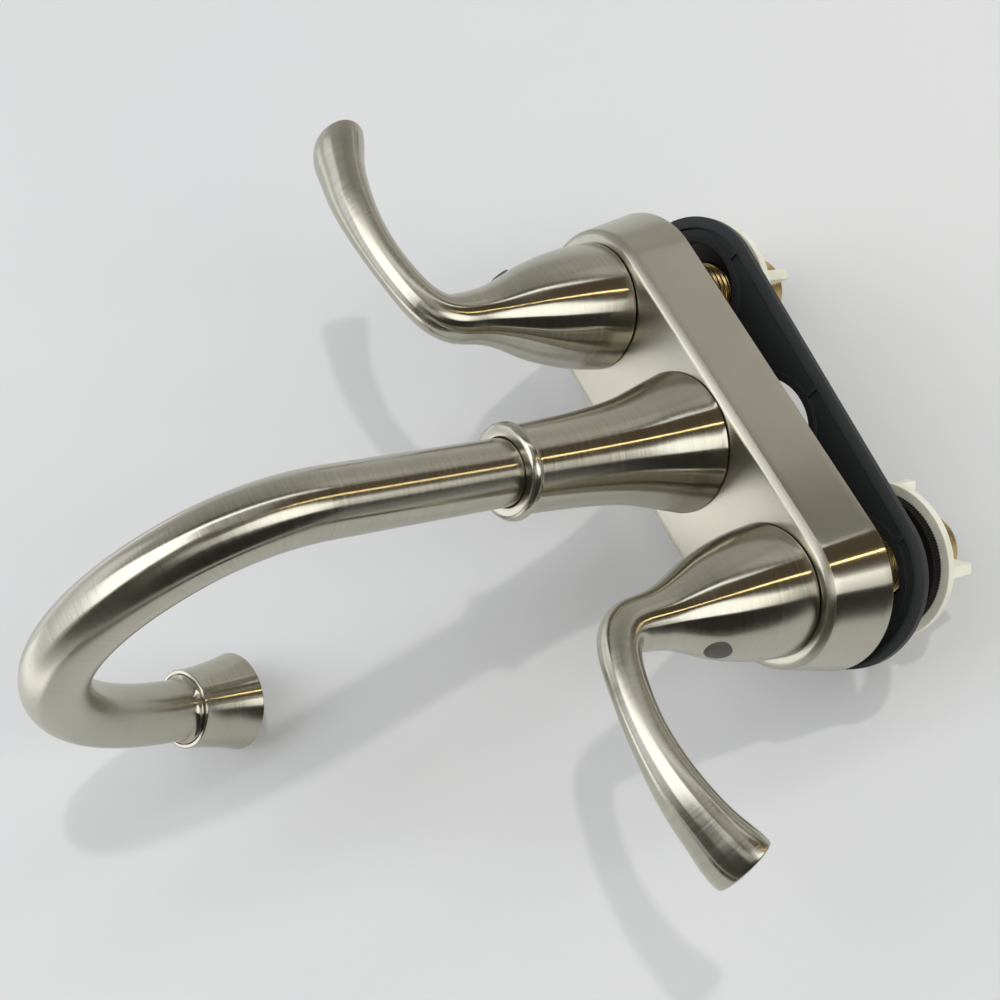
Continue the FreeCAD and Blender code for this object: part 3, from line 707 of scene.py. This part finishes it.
def make_finishes():
    """The materials of the solids that stay, by the record's slot."""
    return {
        "brushed_nickel": plain_metal("nickel_inner", (0.52, 0.48, 0.42), 0.35, 300.0),
        "brass": plain_metal("brass", (0.60, 0.45, 0.20), 0.22, 400.0),
        "steel": plain_metal("steel", (0.52, 0.52, 0.52), 0.30, 500.0),
        "charcoal_plastic": moulded("charcoal_plastic", (0.017, 0.0195, 0.0205), 0.46, 2500.0, 0.00004,
                                    0.00035),
        "black_plastic": moulded("black_plastic", (0.010, 0.009, 0.008), 0.45, 2500.0, 0.00003, 0.00015,
                                 gloss=0.2),
        "ivory_nylon": moulded("ivory_nylon", (0.96, 0.935, 0.79), 0.38, 1500.0, 0.00003, 0.0004,
                               subsurface=0.7),
        "grey_plastic": moulded("grey_plastic", (0.16, 0.15, 0.145), 0.42, 2500.0, 0.00003, 0.0002),
        "white_acetal": moulded("white_acetal", (0.80, 0.80, 0.78), 0.40, 2000.0, 0.00003, 0.0003),
        "ceramic": moulded("ceramic", (0.82, 0.81, 0.77), 0.18, 3000.0, 0.00001, 0.0002),
        "seal_rubber": moulded("seal_rubber", (0.018, 0.018, 0.018), 0.60, 1800.0, 0.00004, 0.0002),
    }


def dress_solids():
    finishes = make_finishes()
    slots = {entry["node"]: entry["material_slot"] for entry in frame["record"]["subparts"]}
    for name, solid in frame["nodes"].items():
        solid.data.materials.clear()
        solid.data.materials.append(finishes[slots[name]])


def dress(piece, material, slot, body, *nodes):
    piece.data.materials.append(material)
    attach(piece, body)
    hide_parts(*nodes)


def make_pieces():
    turned_nickel = brushed_nickel("nickel_turned", 0.16, 0.96, 1600.0, 25.0, 1.0)
    tube_nickel = brushed_nickel("nickel_tube", 0.19, 0.9, 1600.0, 25.0, 1.0)
    cover_nickel = brushed_nickel("nickel_cover", COVER_ROUGHNESS, 0.95, 4500.0, 40.0, 0.04)
    collar_nickel = brushed_nickel("nickel_collar", 0.19, 0.3, 2500.0, 30.0, 0.5)
    plug_grey = moulded("plug_grey", (0.085, 0.080, 0.070), 0.45, 2500.0, 0.00003, 0.0002)
    dress(make_cover(), cover_nickel, "brushed_nickel", "base", "base_cover")
    dress(make_bell(), turned_nickel, "brushed_nickel", "base", "spout_bell")
    dress(make_collar(), collar_nickel, "brushed_nickel", "base", "spout_collar")
    dress(make_tube(), tube_nickel, "brushed_nickel", "spout", "spout_tube")
    dress(make_aerator(), turned_nickel, "brushed_nickel", "spout", "aerator_housing")
    for side, word in ((-1, "left"), (1, "right")):
        place = side_place(side)
        lever = ring_piece(word + "_lever", handle_rings(), closed=True, place=place)
        dress(lever, turned_nickel, "brushed_nickel", word + "_handle", word + "_handle")
        button = ring_piece(word + "_button", plug_rings(), closed=True, place=place)
        dress(button, plug_grey, "grey_plastic", word + "_handle", word + "_plug")


def table_white():
    """The table's finish, clear from below so that views from there aren't blocked."""
    nodes = Nodes("table_white")
    shader = nodes.shader
    shader.inputs["Roughness"].default_value = 0.5
    shader.inputs["Specular IOR Level"].default_value = 0.3
    clouds = nodes.noise(nodes.stretched((6.0, 6.0, 6.0), "Object"), 1.0, 4.0)
    nodes.join(nodes.tint(clouds, TABLE_COLOURS), shader.inputs["Base Color"])
    clear = nodes.add("ShaderNodeBsdfTransparent")
    mix = nodes.add("ShaderNodeMixShader")
    facing = nodes.add("ShaderNodeNewGeometry")
    nodes.join(facing.outputs["Backfacing"], mix.inputs["Fac"])
    nodes.join(shader.outputs["BSDF"], mix.inputs[1])
    nodes.join(clear.outputs["BSDF"], mix.inputs[2])
    nodes.join(mix.outputs["Shader"], nodes.tree.nodes["Material Output"].inputs["Surface"])
    return nodes.material


def make_floor():
    """The table, level with the lowest point of the faucet as it lies there."""
    solids = frame["nodes"].values()
    lowest = min(vertex.co.dot(TABLE_UP) for solid in solids for vertex in solid.data.vertices)
    corners = []
    for x, away in ((-1, -1), (1, -1), (1, 1), (-1, 1)):
        corners.append(TABLE_UP * lowest + (TABLE_SIDE * x + TABLE_AWAY * away) * TABLE_HALF)
    mesh = bpy.data.meshes.new("table")
    mesh.from_pydata(corners, [], [(0, 1, 2, 3)])
    if mesh.polygons[0].normal.dot(TABLE_UP) < 0:
        mesh.flip_normals()
    mesh.materials.append(table_white())
    table = add_to_scene("table", mesh)


# The studio round the table, which the metal mirrors. Azimuth 0 is where the shanks point and 90 is towards
# the right handle. Elevations count up from the table's plane.
BACKDROP = (0.72, 0.73, 0.74, 1.0)
STUDIO_RADIUS = 2.8
STUDIO_TONES = [(0.0, (0.50, 0.50, 0.48)), (0.34, (0.45, 0.45, 0.43)), (0.64, (0.37, 0.37, 0.35)),
                (0.85, (0.28, 0.28, 0.27)), (0.97, (0.45, 0.45, 0.44))]
STUDIO_EDGES = [(-180, -8, 90), (180, -8, 90)]
SCREEN_DISTANCE = 0.96
SCREEN_STEP = 0.01
# Screens darker than this only show in the metal, and take no light from the table
DARK_LIMIT = 0.3
# Screens, each in front of the one before: name, colour, edges as (azimuth, lowest, highest elevation)
SCREENS = [
    ("dark_screen", (0.035, 0.033, 0.030),
     [(26, -5, 50), (97, -5, 51), (112, -5, 49), (124, -5, 45), (132, -5, 38)]),
    ("shade_screen", (0.080, 0.075, 0.068), [(131, -5, 50), (150, -5, 52), (177, -5, 54)]),
    ("upper_shade", (0.15, 0.14, 0.11),
     [(52, 70, 77), (70, 67, 80), (100, 67, 80), (140, 66, 80), (165, 62, 80), (176, 54, 74)]),
    ("back_panel", (0.52, 0.51, 0.48), [(-52, -5, 26), (-13, -5, 26)]),
    ("back_light", (0.69, 0.68, 0.64), [(-32, 16, 28), (-13, 16, 30)]),
    ("brown_screen", (0.105, 0.080, 0.048),
     [(-14, 30, 60), (-7, 4, 62), (2, 4, 66), (20, 4, 67), (28, 20, 66), (36, 48, 64)]),
    ("olive_band", (0.11, 0.105, 0.080),
     [(-145, 20, 34), (-141, 31, 46), (-134, 42, 58), (-120, 52, 67), (-100, 56, 70), (-80, 57, 71),
      (-60, 56, 70), (-42, 50, 64), (-30, 41, 56), (-20, 29, 46), (-12, 17, 34)]),
    ("bright_arch", (2.60, 2.66, 2.75),
     [(-183, 24, 70), (-172, 20, 72), (-160, 18, 72), (-145, 18, 70), (-142, 30, 69), (-137, 48, 68),
      (-130, 57.5, 68), (-112, 64, 71), (-95, 67.5, 73), (-80, 68.5, 74), (-60, 67, 73), (-42, 61.5, 68),
      (-31, 55, 62), (-22, 46, 54), (-15, 37, 44), (-10, 29, 34)]),
    ("pale_screen", (1.15, 1.18, 1.27), [(-176, -5, 24), (-139, -5, 24), (-119, -5, 22)]),
    ("low_panel", (0.75, 0.73, 0.68), [(23, 4, 18), (31, 4, 22), (38, 8, 22), (48, 18, 22)]),
    ("window", (2.20, 2.25, 2.25),
     [(31, 20, 40), (33, 20, 50), (38, 20, 56), (48, 20, 60), (57, 28, 63), (68, 38, 65), (77, 44, 66)]),
    ("window_middle", (1.25, 1.27, 1.27), [(77, 44, 66), (85, 48, 66), (94, 51, 67)]),
    ("window_end", (0.70, 0.71, 0.70), [(94, 51, 67), (112, 52, 66), (126, 50, 66), (145, 50, 66)]),
]
# Cards that stand on the table: name, colour, distance, edges
LOW_CARDS = [
    ("low_card", (1.25, 1.27, 1.31), 0.34, [(-160, -10, 1), (-122, -10, 1)]),
    ("low_bright_card", (1.85, 1.87, 1.91), 0.34, [(-190, -10, 2.5), (-160, -10, 2)]),
    ("low_shade", (0.06, 0.056, 0.050), 0.50, [(-34, -11, 1), (-15, -12, 2), (160, -12, 2)]),
]
# A warm lit strip, along (azimuth, elevation) points
WARM_STRIP = [(9.2, 4), (10.8, 20), (14.5, 32), (18.5, 43), (22.0, 52), (24.0, 58)]
WARM_WIDTH = 0.85
WARM_DISTANCE = 0.85
WARM_COLOUR = (12.0, 9.5, 5.0)
# How finely the screens are divided: degrees to a column, rows
SCREEN_COLUMN = 5.0
SCREEN_ROWS = 12


def room_point(azimuth, elevation, distance):
    turn, rise = math.radians(azimuth), math.radians(elevation)
    level = TABLE_AWAY * math.cos(turn) + TABLE_SIDE * math.sin(turn)
    return (level * math.cos(rise) + TABLE_UP * math.sin(rise)) * distance


def stage_piece(name, mesh, material, mirrored_only=False):
    """Something of the studio that shows in the metal but not to the camera, and lights the table or not."""
    mesh.materials.append(material)
    piece = add_to_scene(name, mesh)
    piece.visible_camera = False
    piece.visible_diffuse = not mirrored_only
    piece.visible_shadow = not mirrored_only


def glow(name, colour=None):
    """A material that gives off light, of one colour or shaded from the table up to the ceiling."""
    nodes = Nodes(name)
    light = nodes.add("ShaderNodeEmission")
    if colour is not None:
        light.inputs["Color"].default_value = (*colour, 1.0)
    else:
        rise = nodes.add("ShaderNodeVectorMath", operation="DOT_PRODUCT")
        rise.inputs[1].default_value = TABLE_UP / STUDIO_RADIUS
        nodes.join(nodes.stretched((1.0, 1.0, 1.0), "Object"), rise.inputs[0])
        nodes.join(nodes.tint(rise.outputs["Value"], STUDIO_TONES), light.inputs["Color"])
    nodes.tree.nodes.remove(nodes.shader)
    nodes.join(light.outputs["Emission"], nodes.tree.nodes["Material Output"].inputs["Surface"])
    return nodes.material


def curved_screen(name, edges, distance):
    """Part of a ball round the table, between edges given as (azimuth, lowest, highest elevation)."""
    columns = []
    for before, after in zip(edges, edges[1:]):
        parts = max(1, math.ceil((after[0] - before[0]) / SCREEN_COLUMN))
        for part in range(parts):
            share = part / parts
            columns.append([b + (a - b) * share for b, a in zip(before, after)])
    columns.append(edges[-1])
    points = []
    for azimuth, low, high in columns:
        for row in range(SCREEN_ROWS + 1):
            points.append(room_point(azimuth, low + (high - low) * row / SCREEN_ROWS, distance))
    faces = []
    for column in range(len(columns) - 1):
        for row in range(SCREEN_ROWS):
            corner = column * (SCREEN_ROWS + 1) + row
            beside = corner + SCREEN_ROWS + 1
            faces.append((corner, corner + 1, beside + 1, beside))
    mesh = bpy.data.meshes.new(name)
    mesh.from_pydata(points, [], faces)
    return mesh


def leaning_strip(name, line, width, distance):
    """A thin strip along a line of (azimuth, elevation) points."""
    points = []
    for azimuth, elevation in line:
        points.append(room_point(azimuth - width / 2, elevation, distance))
        points.append(room_point(azimuth + width / 2, elevation, distance))
    faces = [(2 * i, 2 * i + 1, 2 * i + 3, 2 * i + 2) for i in range(len(line) - 1)]
    mesh = bpy.data.meshes.new(name)
    mesh.from_pydata(points, [], faces)
    return mesh


def make_studio():
    world = bpy.data.worlds.new("backdrop")
    world.use_nodes = True
    world.node_tree.nodes["Background"].inputs["Color"].default_value = BACKDROP
    bpy.context.scene.world = world
    stage_piece("studio", curved_screen("studio", STUDIO_EDGES, STUDIO_RADIUS), glow("studio_wall"))
    for number, (name, colour, edges) in enumerate(SCREENS):
        screen = curved_screen(name, edges, STUDIO_RADIUS * (SCREEN_DISTANCE - SCREEN_STEP * number))
        stage_piece(name, screen, glow(name, colour), mirrored_only=max(colour) < DARK_LIMIT)
    strip = leaning_strip("warm_strip", WARM_STRIP, WARM_WIDTH, STUDIO_RADIUS * WARM_DISTANCE)
    stage_piece("warm_strip", strip, glow("warm_strip", WARM_COLOUR), mirrored_only=True)
    for name, colour, distance, edges in LOW_CARDS:
        stage_piece(name, curved_screen(name, edges, distance), glow(name, colour), mirrored_only=True)


def make_light(name, place, size, power, colour):
    """A round lamp aimed at the origin, which the metal doesn't mirror."""
    lamp = bpy.data.lights.new(name, "AREA")
    lamp.shape = "DISK"
    lamp.size = size
    lamp.energy = power
    lamp.color = colour
    holder = add_to_scene(name, lamp)
    holder.location = place
    holder.rotation_euler = place.to_track_quat("Z", "Y").to_euler()
    holder.visible_glossy = False


def make_camera():
    lens = bpy.data.cameras.new("camera")
    lens.lens = CAMERA_LENS
    lens.sensor_width = CAMERA_SENSOR
    lens.clip_start = CAMERA_NEAREST
    holder = add_to_scene("camera", lens)
    holder.matrix_world = Matrix.Translation(CAMERA_PLACE) @ Matrix(CAMERA_TURN).to_4x4()
    bpy.context.scene.camera = holder


dress_solids()
make_pieces()
make_floor()
make_studio()
make_light("lamp", Vector((-0.154, 1.637, 0.863)), size=0.07, power=5.5, colour=(1.0, 0.985, 0.955))
make_light("side", room_point(-10, 38, 0.9), size=0.4, power=0.6, colour=(1.0, 0.97, 0.90))
make_camera()
bpy.context.scene.view_settings.view_transform = "Standard"
